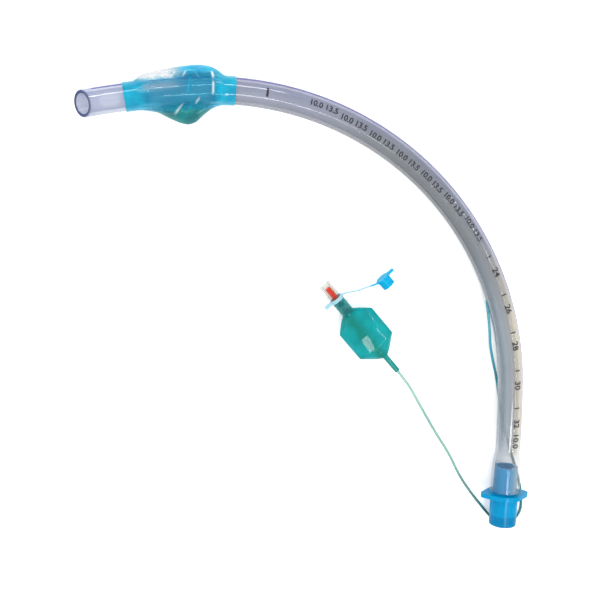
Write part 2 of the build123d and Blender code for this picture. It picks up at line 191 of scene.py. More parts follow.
# The plane in which the tube lies, as the CAD has it
TUBE_ORIGIN = np.array((0.10668, -0.10541, 0.01005))
TUBE_ALONG = np.array((0.039488, 0.998862, -0.026746))
TUBE_NORMAL = np.array((0.02459, 0.025787, 0.999365))
TUBE_LENGTH = 373.7 * MM
TUBE_RADIUS = 6.75 * MM
STRAIGHT = 24.0 * MM
BENDS = ((615.0 * MM, 36.6 * MM), (160.7 * MM, 259.6 * MM), (475.0 * MM, 53.5 * MM))

# The bend's arcs from above: centre and radius, and where one hands over to the next
ARCS = (((-0.506707, -0.056763), 0.615), ((-0.052635, -0.047968), 0.1607),
        ((-0.032339, -0.36152), 0.475))
BEND_START_Y = -44.86 * MM
BEND_END_X = -63.01 * MM
TIP_PLACE = (-0.116077, 0.105934, 0.010078)
BEVEL_FACING = (-0.821475, -0.135303, 0.55396)

# Cuff, from the tip
CUFF_FROM_TIP = 20.6 * MM
CUFF_LENGTH = 54.6 * MM
COLLAR_RADIUS = 7.2 * MM
DISTAL_COLLAR = 6.2 * MM
PROXIMAL_COLLAR = 5.6 * MM
FLOOR_GAP = 0.05 * MM

# Valve and balloon axis
VALVE_MOUTH = np.array((4.88, 12.71, 4.25)) * MM
VALVE_ALONG = np.array((0.64145, -0.767165, 0.0))
VALVE_SIDE = np.array((0.767165, 0.64145, 0.0))
VALVE_UP = np.array((0.0, 0.0, 1.0))

# Spring, from the valve's mouth
SPRING_START = 14.9 * MM
SPRING_LENGTH = 3.42 * MM
SPRING_RADIUS = 1.55 * MM
SPRING_WIRE = 0.18 * MM
SPRING_TURNS = 4

# Middle of the cap
CAP_PLACE = (0.0376, 0.0139, 0.00405)

# Half the floor's side
FLOOR_HALF = 40.0

# Route of the free line, as the CAD has it
LINE_ROUTE = [
    (0.09302, 0.00242, 0.0076),
    (0.095, -0.00992, 0.00787),
    (0.0966, -0.02232, 0.0054),
    (0.1, -0.03302, 0.0017),
    (0.103, -0.04352, 0.00085),
    (0.1046, -0.05502, 0.00085),
    (0.1072, -0.06702, 0.00085),
    (0.1109, -0.07982, 0.00085),
    (0.1149, -0.09242, 0.00085),
    (0.1185, -0.10402, 0.00085),
    (0.1206, -0.11442, 0.00085),
    (0.12, -0.12402, 0.00085),
    (0.1133, -0.13022, 0.00085),
    (0.1051, -0.12802, 0.00085),
    (0.0983, -0.12002, 0.00085),
    (0.0897, -0.10902, 0.00085),
    (0.0826, -0.09812, 0.00085),
    (0.0771, -0.08622, 0.00085),
    (0.0691, -0.07382, 0.00085),
    (0.0623, -0.06202, 0.00085),
    (0.0565, -0.05182, 0.0016),
    (0.0509, -0.04242, 0.00425),
    (0.0423, -0.03212, 0.00425),
]
LINE_RADIUS = 0.75 * MM
LINE_LENGTH = 262.2 * MM

# The stripe, from the machine end and from the tip
STRIPE_START = 24.0 * MM
STRIPE_TIP_GAP = 6.0 * MM

# Where the photograph has the print: distances from the machine end, in millimetres for the lists
TICKS = (134.6, 112.4, 91.0, 69.8, 48.9)
DEPTHS = ((125.4, "24"), (104.2, "26"), (83.5, "28"), (61.6, "30"), (40.1, "32"), (30.4, "10.0"))
PRINT_START = 261.0 * MM
PRINT_END = 158.0 * MM
PRINT_STEP = 17.0 * MM
PRINT_HALF = 7.0 * MM
PRINT_BOW = math.radians(-20.0)
CORD_MARK = 283.0 * MM
CORD_MARK_ANGLE = math.radians(99.0)
CORD_MARK_WIDTH = 1.1 * MM
CORD_MARK_LENGTH = 4.4 * MM

# Height of a digit as a share of its font's size
DIGIT_SHARE = 0.7


class TubeSettings(bpy.types.PropertyGroup):
    """Sizes of the print and the stripe on the tube."""

    tick_length: FloatProperty(name="Tick length", description="Length of a depth tick round the tube",
                               default=3.1 * MM, unit="LENGTH")
    tick_width: FloatProperty(name="Tick width", description="Width of a depth tick along the tube",
                              default=0.7 * MM, unit="LENGTH")
    digit_height: FloatProperty(name="Digit height", description="Height of the depth numbers",
                                default=3.5 * MM, unit="LENGTH")
    print_height: FloatProperty(name="Print height", description="Height of the size print",
                                default=2.9 * MM, unit="LENGTH")
    print_angle: FloatProperty(name="Print angle", description="Angle of the print round the tube",
                               default=math.radians(104.0), subtype="ANGLE")
    ink_thickness: FloatProperty(name="Ink thickness", description="How far the print stands proud",
                                 default=0.05 * MM, unit="LENGTH")
    stripe_angle: FloatProperty(name="Stripe angle", description="Angle of the stripe round the tube",
                                default=math.radians(155.0), subtype="ANGLE")
    stripe_width: FloatProperty(name="Stripe width", description="Width of the blue stripe",
                                default=1.4 * MM, unit="LENGTH")


class CuffSettings(bpy.types.PropertyGroup):
    """Shape of the slack film cuff."""

    film: FloatProperty(name="Film", description="Thickness of the film", default=0.3 * MM,
                        unit="LENGTH")
    pleat_height: FloatProperty(name="Pleat height", description="Height of the gathers by the collars",
                                default=0.12 * MM, unit="LENGTH")
    pleats: IntProperty(name="Pleats", description="Number of gathers round a collar", default=13)
    fold_width: FloatProperty(name="Fold width", description="Width of a fold as a share of the film",
                              default=0.013)
    crease_height: FloatProperty(name="Crease height", description="Height of the slack creases",
                                 default=0.5 * MM, unit="LENGTH")


class BalloonSettings(bpy.types.PropertyGroup):
    """Shape of the pilot balloon."""

    half_width: FloatProperty(name="Half width", description="Half width of the pouch",
                              default=10.5 * MM, unit="LENGTH")
    half_height: FloatProperty(name="Half height", description="Half height of the pouch",
                               default=4.2 * MM, unit="LENGTH")
    seam: FloatProperty(name="Seam", description="Width of the welded seam", default=0.8 * MM,
                        unit="LENGTH")
    film: FloatProperty(name="Film", description="Thickness of the film", default=0.4 * MM,
                        unit="LENGTH")


class StageSettings(bpy.types.PropertyGroup):
    """Camera, lights and floor."""

    camera_place: FloatVectorProperty(name="Camera", description="Place of the camera",
                                      default=(-0.07657, 0.09864, 0.49263), subtype="XYZ")
    camera_angle: FloatProperty(name="View angle", description="Angle of view",
                                default=2 * math.atan(300 / 951.5), subtype="ANGLE")
    key_power: FloatProperty(name="Key light", description="Power of the key light", default=6.0,
                             unit="POWER")
    floor_glow: FloatProperty(name="Floor glow", description="How much paler the floor is seen than lit",
                              default=0.42)
    world_strength: FloatProperty(name="World", description="Strength of the surrounding light",
                                  default=0.56)


def srgb(red, green, blue):
    """Linear RGBA of an sRGB colour given in 0 to 255."""
    values = np.array((red, green, blue)) / 255
    linear = np.where(values <= 0.04045, values / 12.92, ((values + 0.055) / 1.055) ** 2.4)
    return (*linear.tolist(), 1.0)


def unit(vectors):
    """Vectors scaled to length 1."""
    return vectors / np.linalg.norm(vectors, axis=-1, keepdims=True)


def tube_frame(distance):
    """Centre, direction, inner side and up at distances along the tube: a straight, then arcs."""
    distance = np.asarray(distance, float)
    along = unit(TUBE_ALONG)
    up = unit(TUBE_NORMAL)
    left = np.cross(up, along)
    x = np.minimum(distance, STRAIGHT)
    y = np.zeros_like(distance)
    turn = np.zeros_like(distance)
    start = STRAIGHT
    for radius, length in BENDS:
        step = np.clip(distance - start, 0, length) / radius
        x = x + radius * (np.sin(turn + step) - np.sin(turn))
        y = y - radius * (np.cos(turn + step) - np.cos(turn))
        turn = turn + step
        start += length
    centre = TUBE_ORIGIN + x[..., None] * along + y[..., None] * left
    direction = np.cos(turn)[..., None] * along + np.sin(turn)[..., None] * left
    return centre, direction, np.cross(up, direction), up


def on_tube(distance, angle, radius):
    """Points on the tube: centre plus radius times cosine on the inner side and sine up."""
    centre, _, side, up = tube_frame(distance)
    angle = np.asarray(angle, float)[..., None]
    radius = np.asarray(radius, float)[..., None]
    return centre + radius * (np.cos(angle) * side + np.sin(angle) * up)


def link(mesh, name, material):
    """An object of the mesh with its material, at the origin, in the scene."""
    mesh.materials.append(material)
    piece = bpy.data.objects.new(name, mesh)
    bpy.context.scene.collection.objects.link(piece)
    return piece


def mesh_of(name, points, faces, smooth=True, caps=False):
    """A mesh of points and faces, its open ends closed where asked, with normals turned outward."""
    mesh = bpy.data.meshes.new(name)
    mesh.from_pydata(points.reshape(-1, 3).tolist(), [], faces.tolist())
    work = bmesh.new()
    work.from_mesh(mesh)
    if caps:
        bmesh.ops.holes_fill(work, edges=work.edges[:], sides=0)
    bmesh.ops.recalc_face_normals(work, faces=work.faces)
    work.to_mesh(mesh)
    work.free()
    mesh.polygons.foreach_set("use_smooth", np.full(len(mesh.polygons), smooth))
    return mesh


def grid_faces(rows, columns, offset=0):
    """Quads of a grid that closes round its columns."""
    i, j = np.meshgrid(np.arange(rows - 1), np.arange(columns), indexing="ij")
    k = (j + 1) % columns
    quads = np.stack((i * columns + j, i * columns + k, (i + 1) * columns + k,
                      (i + 1) * columns + j), axis=-1)
    return quads.reshape(-1, 4) + offset


def sleeve_mesh(name, outer, inner):
    """A closed sleeve: outer skin, inner skin and a ring of quads at each end."""
    rows, columns, _ = outer.shape
    count = rows * columns
    j = np.arange(columns)
    k = (j + 1) % columns
    near = np.stack((j, k, count + k, count + j), axis=-1)
    last = (rows - 1) * columns
    far = np.stack((last + j, last + k, count + last + k, count + last + j), axis=-1)
    faces = np.concatenate((grid_faces(rows, columns), grid_faces(rows, columns, count)[:, ::-1],
                            near, far))
    return mesh_of(name, np.concatenate((outer, inner)), faces)


def closed_loop(controls, shares):
    """Points on a closed smooth curve through control points (cubic through each four)."""
    count = controls.shape[-2]
    place = shares * count
    first = np.floor(place).astype(int)
    t = (place - first)[:, None]
    before, start, end, after = (controls[..., (first + step) % count, :] for step in (-1, 0, 1, 2))
    return 0.5 * (2 * start + (end - before) * t
                  + (2 * before - 5 * start + 4 * end - after) * t ** 2
                  + (3 * start - before - 3 * end + after) * t ** 3)


def smooth_step(values, low, high):
    """0 below low and 1 above high, with a smooth rise between."""
    t = np.clip((values - low) / (high - low), 0, 1)
    return t * t * (3 - 2 * t)


def smoothed(places, table, window):
    """A table's columns at places of its first column, with their corners rounded off."""
    kernel = np.hanning(window)
    kernel /= kernel.sum()
    half = window // 2
    columns = [np.interp(places, table[:, 0], column) for column in table.T[1:]]
    return [np.convolve(np.pad(column, half, mode="edge"), kernel, mode="valid")
            for column in columns]


class Finish:
    """A material with its nodes at hand."""

    def __init__(self, name):
        """Start an empty node tree with an output."""
        self.material = bpy.data.materials.new(name)
        self.material.use_nodes = True
        self.tree = self.material.node_tree
        self.tree.nodes.clear()
        self.output = self.tree.nodes.new("ShaderNodeOutputMaterial")
        self.place = self.tree.nodes.new("ShaderNodeTexCoord").outputs["Object"]

    def add(self, kind, inputs=None, **settings):
        """Add a node, set its properties, and set or link its inputs."""
        node = self.tree.nodes.new(kind)
        for key, value in settings.items():
            setattr(node, key, value)
        for key, value in (inputs or {}).items():
            if isinstance(value, bpy.types.NodeSocket):
                self.tree.links.new(value, node.inputs[key])
            else:
                node.inputs[key].default_value = value
        return node

    def noise(self, scale, detail):
        """A noise over the object's own coordinates."""
        node = self.add("ShaderNodeTexNoise", {"Vector": self.place, "Scale": scale, "Detail": detail,
                                               "Roughness": 0.5})
        return node.outputs["Fac"]

    def ramp(self, factor, stops):
        """A colour ramp over a factor, from a list of places and colours."""
        node = self.add("ShaderNodeValToRGB", {"Fac": factor})
        elements = node.color_ramp.elements
        while len(elements) < len(stops):
            elements.new(0.5)
        for element, (position, colour) in zip(elements, stops):
            element.position = position
            element.color = colour
        return node.outputs["Color"]

    def calc(self, operation, first, second, clamp=False):
        """The result of an operation on two values."""
        node = self.add("ShaderNodeMath", {0: first, 1: second}, operation=operation, use_clamp=clamp)
        return node.outputs[0]

    def axis(self, name):
        """The object's own X, Y or Z."""
        return self.add("ShaderNodeSeparateXYZ", {"Vector": self.place}).outputs[name]

    def along(self, start, direction):
        """How far a point lies from a start along a direction."""
        offset = self.add("ShaderNodeVectorMath", {0: self.place, 1: tuple(start)},
                          operation="SUBTRACT")
        node = self.add("ShaderNodeVectorMath", {0: offset.outputs[0], 1: tuple(direction)},
                        operation="DOT_PRODUCT")
        return node.outputs["Value"]

    def span(self, value, low, high, start=0.0, end=1.0, ease="LINEAR"):
        """A value turned from one range into another and held at its ends."""
        node = self.add("ShaderNodeMapRange", {"Value": value, "From Min": low, "From Max": high,
                                               "To Min": start, "To Max": end},
                        interpolation_type=ease)
        return node.outputs["Result"]

    def values(self, factor, low, high):
        """A factor of 0 to 1 turned into a range."""
        return self.span(factor, 0.0, 1.0, low, high)

    def edge(self, blend, low, high):
        """A value that rises from low to high as the surface turns edge on."""
        weight = self.add("ShaderNodeLayerWeight", {"Blend": blend})
        return self.values(weight.outputs["Facing"], low, high)

    def bump(self, height, distance, strength):
        """A normal from a height."""
        node = self.add("ShaderNodeBump", {"Height": height, "Distance": distance,
                                           "Strength": strength})
        return node.outputs["Normal"]

    def blend(self, factor, first, second):
        """A value between two values."""
        node = self.add("ShaderNodeMix", {0: factor, 2: first, 3: second}, data_type="FLOAT")
        return node.outputs[0]

    def mixed(self, kind, factor, first, second):
        """A colour mixed from two colours."""
        node = self.add("ShaderNodeMix", {0: factor, 6: first, 7: second}, data_type="RGBA",
                        blend_type=kind)
        return node.outputs[2]

    def attribute(self, name):
        """A value stored on the mesh."""
        return self.add("ShaderNodeAttribute", attribute_name=name).outputs["Fac"]

    def surface(self, inputs):
        """A principled shader that feeds the output."""
        shader = self.add("ShaderNodeBsdfPrincipled", inputs)
        self.tree.links.new(shader.outputs["BSDF"], self.output.inputs["Surface"])
        return shader

    def see_through(self, shader, density, clear):
        """Let the output mix the shader with a clear one of a colour, by a density."""
        glass = self.add("ShaderNodeBsdfTransparent", {"Color": clear})
        mix = self.add("ShaderNodeMixShader", {"Fac": density})
        self.tree.links.new(glass.outputs["BSDF"], mix.inputs[1])
        self.tree.links.new(shader.outputs["BSDF"], mix.inputs[2])
        self.tree.links.new(mix.outputs["Shader"], self.output.inputs["Surface"])


def node_object(name):
    """The CAD node's object."""
    return frame["nodes"][name]


def dress(name, material):
    """Give a CAD node's material slots a finish."""
    data = node_object(name).data
    if not data.materials:
        data.materials.append(material)
    for index in range(len(data.materials)):
        data.materials[index] = material


def tube_places(finish):
    """Signed distance across the tube, distance from its axis and rise above its plane.

    The first is from the nearest of the bend's three arcs, so it is -1 on the inner side of the
    bend and 1 on its outer side. With the rise it gives the second. Both are over the radius.
    """
    flat = finish.add("ShaderNodeVectorMath", {0: finish.place, 1: (1, 1, 0)}, operation="MULTIPLY")
    offsets = []
    for centre, radius in ARCS:
        away = finish.add("ShaderNodeVectorMath", {0: flat.outputs[0], 1: (*centre, 0)},
                          operation="DISTANCE")
        offset = finish.calc("SUBTRACT", away.outputs["Value"], radius)
        offsets.append(finish.calc("DIVIDE", offset, TUBE_RADIUS))
    early = finish.calc("LESS_THAN", finish.axis("Y"), BEND_START_Y)
    late = finish.calc("LESS_THAN", finish.axis("X"), BEND_END_X)
    across = finish.blend(early, offsets[1], offsets[0])
    across = finish.blend(late, across, offsets[2])
    height = finish.along(TUBE_ORIGIN, TUBE_NORMAL)
    section = finish.add("ShaderNodeCombineXYZ", {"X": across,
                                                  "Y": finish.calc("DIVIDE", height, TUBE_RADIUS)})
    reach = finish.add("ShaderNodeVectorMath", {0: section.outputs[0]}, operation="LENGTH")
    return across, reach.outputs["Value"], height


def tube_painted_light_and_tone(finish, across, depth, rim):
    """The wall's colour with painted light and shade across the tube: darker edges, a paler band and a lavender
    painted reflection on the outer edge. By the connector it has a bluish inner side, a beige outer side and a painted
    cream highlight line. It changes from the tip's end to the connector's.
    """
    share = finish.span(across, -1.0, 1.0)
    # Painted light and shade: each ramp runs from the inner edge (0) to the outer edge (1). It is darker at both edges
    # and paler between, with a lavender painted reflection at the outer edge.
    tip_end = finish.ramp(share, [
        (0.0, srgb(104, 110, 126)),
        (0.15, srgb(160, 166, 182)),
        (0.35, srgb(184, 190, 208)),
        (0.65, srgb(160, 166, 190)),
        (0.85, srgb(172, 176, 204)),
        (1.0, srgb(92, 88, 160)),
    ])
    bend = finish.ramp(share, [
        (0.0, srgb(96, 104, 108)),
        (0.15, srgb(134, 140, 144)),
        (0.35, srgb(150, 154, 158)),
        (0.65, srgb(140, 146, 158)),
        (0.85, srgb(146, 152, 180)),
        (1.0, srgb(80, 80, 142)),
    ])
    # Painted highlight: the cream stops from 0.66 to 0.72 stand in for a lamp's long reflection on the tube.
    connector_end = finish.ramp(share, [
        (0.0, srgb(128, 146, 158)),
        (0.25, srgb(164, 178, 190)),
        (0.5, srgb(164, 166, 168)),
        (0.66, srgb(214, 206, 186)),
        (0.72, srgb(240, 230, 200)),
        (0.8, srgb(196, 190, 170)),
        (0.94, srgb(186, 180, 164)),
        (1.0, srgb(112, 106, 116)),
    ])
    in_bend = finish.span(finish.axis("X"), -5.0 * MM, 40.0 * MM)
    by_connector = finish.span(finish.axis("Y"), 40.0 * MM, -10.0 * MM)
    by_tip = finish.span(depth, -60.0 * MM, -12.0 * MM, 0.0, 0.7)
    cloud = finish.ramp(finish.noise(28.0, 4.0), [(0.3, srgb(240, 240, 244)), (0.7, srgb(255, 255, 255))])
    tone = finish.mixed("MIX", in_bend, tip_end, bend)
    tone = finish.mixed("MIX", by_connector, tone, connector_end)
    tone = finish.mixed("MULTIPLY", 1.0, tone, cloud)
    tone = finish.mixed("MIX", by_tip, tone, srgb(178, 190, 222))
    return finish.mixed("MIX", rim, tone, srgb(84, 94, 140))


def tube_density(finish, depth, rim, reach, height):
    """How dense the wall looks: less by the connector, round the side eye and at the fine lumen."""
    body = finish.span(finish.along(TUBE_ORIGIN, TUBE_ALONG), 12.0 * MM, 40.0 * MM, 0.1, 0.5)
    under = finish.span(height, -1.0 * MM, 1.5 * MM, 0.3, 0.0)
    black, grey, white = srgb(0, 0, 0), srgb(90, 90, 90), srgb(255, 255, 255)
    eye_zone = finish.ramp(finish.span(depth, -40.0 * MM, 0.0),
                           [(0.0, black), (0.4, white), (0.8, white), (0.9, black)])
    body = finish.calc("SUBTRACT", body, finish.calc("MULTIPLY", under, eye_zone), clamp=True)
    thick = finish.calc("ADD", body, finish.edge(0.3, 0.0, 0.4))
    lumen = finish.ramp(reach, [(0.755, white), (0.78, grey), (0.92, grey), (0.96, white)])
    return finish.calc("MAXIMUM", finish.calc("MULTIPLY", thick, lumen), rim, clamp=True)


def tube_finish():
    """Clear soft plastic: painted light and shade change its colour across the wall, and the bevelled rim is denser.

    Only the outer skin, which the distance from the axis tells from the bore, has a full gloss.
    """
    finish = Finish("clear_tube")
    across, reach, height = tube_places(finish)
    outer = finish.span(reach, 0.93, 0.97)
    depth = finish.along(TIP_PLACE, BEVEL_FACING)
    rim = finish.span(depth, -0.5 * MM, -0.1 * MM)
    shader = finish.surface({
        "Base Color": tube_painted_light_and_tone(finish, across, depth, rim),
        "Roughness": finish.values(finish.noise(900.0, 2.0), 0.06, 0.12),
        "IOR": 1.5,
        "Specular IOR Level": finish.values(outer, 0.02, 0.8),
        "Coat Weight": finish.values(outer, 0.0, 0.8),
        "Coat Roughness": 0.05,
        "Normal": finish.bump(finish.noise(160.0, 3.0), 0.0002, 0.15),
    })
    finish.see_through(shader, tube_density(finish, depth, rim, reach, height), srgb(253, 253, 254))
    return finish.material


def connector_finish():
    """Cyan-blue moulded plastic, slightly translucent, with a fine grain and a darker cone end."""
    finish = Finish("blue_moulding")
    colour = finish.ramp(finish.noise(60.0, 3.0), [(0.3, srgb(0, 144, 194)), (0.7, srgb(0, 158, 212))])
    darker = finish.mixed("MULTIPLY", 1.0, colour, srgb(212, 226, 232))
    step = finish.span(finish.along(TUBE_ORIGIN, TUBE_ALONG), -13.9 * MM, -13.3 * MM, ease="SMOOTHSTEP")
    grain = finish.noise(2500.0, 2.0)
    finish.surface({
        "Base Color": finish.mixed("MIX", step, darker, colour),
        "Roughness": finish.values(grain, 0.2, 0.34),
        "IOR": 1.5,
        "Specular IOR Level": 0.05,
        "Coat Weight": 0.1,
        "Coat Roughness": 0.12,
        "Subsurface Weight": 0.2,
        "Subsurface Radius": (0.001, 0.003, 0.004),
        "Subsurface Scale": 1.0,
        "Normal": finish.bump(grain, 0.00004, 0.3),
    })
    return finish.material


def film_finish(name, tones, stain, wrinkle_scale, roughness, gloss):
    """Coloured film. The mesh gives its density, its tint, how pale it is with painted highlights, and how crumpled it
    is.

    The tones are main, tinted and a pale tone that also carries painted highlights, each a pair for the noise to vary
    between. The film gets denser where it is seen edge on, as a thin sheet does. What is behind it takes the stain.
    """
    finish = Finish(name)
    cloud = finish.noise(140.0, 4.0)
    main, tinted, pale_highlight_tone = (finish.ramp(cloud, [(0.35, low), (0.65, high)]) for low, high in tones)
    colour = finish.mixed("MIX", finish.attribute("tint"), main, tinted)
    # The pale tone goes where the mesh's attribute asks. On the cuff's folds it is a painted highlight.
    colour = finish.mixed("MIX", finish.attribute("pale_and_fold_highlight"), colour, pale_highlight_tone)
    unwrapped = finish.add("ShaderNodeUVMap", uv_map="film").outputs["UV"]
    stretched = finish.add("ShaderNodeMapping", {"Vector": unwrapped, "Scale": wrinkle_scale})
    wrinkle = finish.add("ShaderNodeTexNoise", {"Vector": stretched.outputs["Vector"], "Scale": 1.0,
                                                "Detail": 5.0, "Roughness": 0.62, "Distortion": 0.6})
    shader = finish.surface({
        "Base Color": colour,
        "Roughness": roughness,
        "IOR": 1.45,
        "Specular IOR Level": 0.05,
        "Coat Weight": gloss,
        "Coat Roughness": 0.04,
        "Normal": finish.bump(wrinkle.outputs["Fac"], 0.0008, finish.attribute("crumple")),
    })
    density = finish.calc("ADD", finish.attribute("dense"), finish.edge(0.35, 0.0, 0.5), clamp=True)
    behind = finish.mixed("MIX", finish.attribute("pale_and_fold_highlight"), stain, (1, 1, 1, 1))
    finish.see_through(shader, density, behind)
    return finish.material


def line_finish():
    """Tinted soft tubing in slow patches, dark teal by the tube and pale away from it. The pale is partly its clear
    bore and partly painted light on its lit side.
    """
    finish = Finish("line_plastic")
    cloud = finish.noise(45.0, 2.0)
    dark = finish.ramp(cloud, [(0.35, srgb(0, 92, 92)), (0.65, srgb(0, 134, 140))])
    # Painted light: the pale tone stands in for the lit, overexposed side of the free line, partly also its clear
    # bore.
    pale = finish.ramp(cloud, [(0.35, srgb(96, 156, 144)), (0.65, srgb(150, 192, 182))])
    by_notch = finish.span(finish.axis("Y"), -70.0 * MM, -30.0 * MM)
    by_tube = finish.span(finish.axis("X"), 80.0 * MM, 96.0 * MM)
    dark = finish.mixed("MIX", by_notch, dark, srgb(50, 172, 196))
    shader = finish.surface({
        "Base Color": finish.mixed("MIX", by_tube, pale, dark),
        "Roughness": finish.values(finish.noise(700.0, 2.0), 0.2, 0.36),
        "IOR": 1.45,
        "Transmission Weight": 0.2,
        "Normal": finish.bump(finish.noise(500.0, 2.0), 0.0001, 0.3),
    })
    density = finish.blend(by_tube, finish.edge(0.4, 0.34, 0.7), finish.edge(0.4, 0.7, 1.0))
    finish.see_through(shader, density, srgb(224, 242, 238))
    return finish.material


def clear_finish():
    """Clear hard moulding that lets the coloured pieces inside show, with pale grey edges."""
    finish = Finish("valve_clear")
    shader = finish.surface({
        "Base Color": finish.ramp(finish.noise(300.0, 3.0),
                                  [(0.3, srgb(158, 160, 148)), (0.7, srgb(186, 188, 176))]),
        "Roughness": finish.values(finish.noise(1500.0, 2.0), 0.06, 0.14),
        "IOR": 1.5,
        "Specular IOR Level": 0.3,
        "Normal": finish.bump(finish.noise(800.0, 2.0), 0.00003, 0.3),
    })
    finish.see_through(shader, finish.edge(0.3, 0.02, 0.8), srgb(252, 253, 252))
    return finish.material


def cap_finish():
    """Bright cyan-blue soft moulding that turns pale towards its thin strap and ring."""
    finish = Finish("cap_blue")
    cloud = finish.noise(200.0, 3.0)
    blue = finish.ramp(cloud, [(0.3, srgb(4, 170, 220)), (0.7, srgb(12, 186, 236))])
    pale = finish.ramp(cloud, [(0.3, srgb(160, 210, 228)), (0.7, srgb(192, 226, 238))])
    away = finish.add("ShaderNodeVectorMath", {0: finish.place, 1: CAP_PLACE}, operation="DISTANCE")
    thin = finish.span(away.outputs["Value"], 7.0 * MM, 9.5 * MM, ease="SMOOTHSTEP")
    grain = finish.noise(1600.0, 2.0)
    finish.surface({
        "Base Color": finish.mixed("MIX", thin, blue, pale),
        "Roughness": finish.values(grain, 0.24, 0.36),
        "Specular IOR Level": 0.1,
        "Subsurface Weight": 0.15,
        "Subsurface Radius": (0.0006, 0.002, 0.003),
        "Subsurface Scale": 1.0,
        "Normal": finish.bump(grain, 0.00003, 0.3),
    })
    return finish.material


def plain_finish(name, low, high, roughness, noise_scale=300.0, metallic=0.0, gloss=0.5):
    """Moulded or drawn stuff with a fine change of tone and grain."""
    finish = Finish(name)
    cloud = finish.noise(noise_scale, 3.0)
    grain = finish.noise(noise_scale * 8, 2.0)
    finish.surface({
        "Base Color": finish.ramp(cloud, [(0.3, low), (0.7, high)]),
        "Roughness": finish.values(grain, roughness * 0.8, roughness * 1.2),
        "Metallic": metallic,
        "Specular IOR Level": gloss,
        "Normal": finish.bump(grain, 0.00003, 0.3),
    })
    return finish.material


def set_film(mesh, skin, values, inner_share):
    """Store a film's UV map and its values, the inner skin's density as a share of the outer's.

    The map is the share along and the share round, for a sleeve of two skins of rows by columns.
    """
    rows, columns, _ = skin.shape
    i, j = np.meshgrid(np.arange(rows) / (rows - 1), np.arange(columns) / columns, indexing="ij")
    place = np.tile(np.stack((i, j), axis=-1).reshape(-1, 2), (2, 1))
    corners = np.empty(len(mesh.loops), dtype=int)
    mesh.loops.foreach_get("vertex_index", corners)
    layer = mesh.uv_layers.new(name="film")
    layer.uv.foreach_set("vector", place[corners].astype(np.float32).ravel())
    for name, value in values.items():
        outer = np.broadcast_to(value, (rows, columns))
        inner = outer * (inner_share if name == "dense" else 1)
        layer = mesh.attributes.new(name, "FLOAT", "POINT")
        layer.data.foreach_set("value", np.concatenate((outer, inner)).astype(np.float32).ravel())


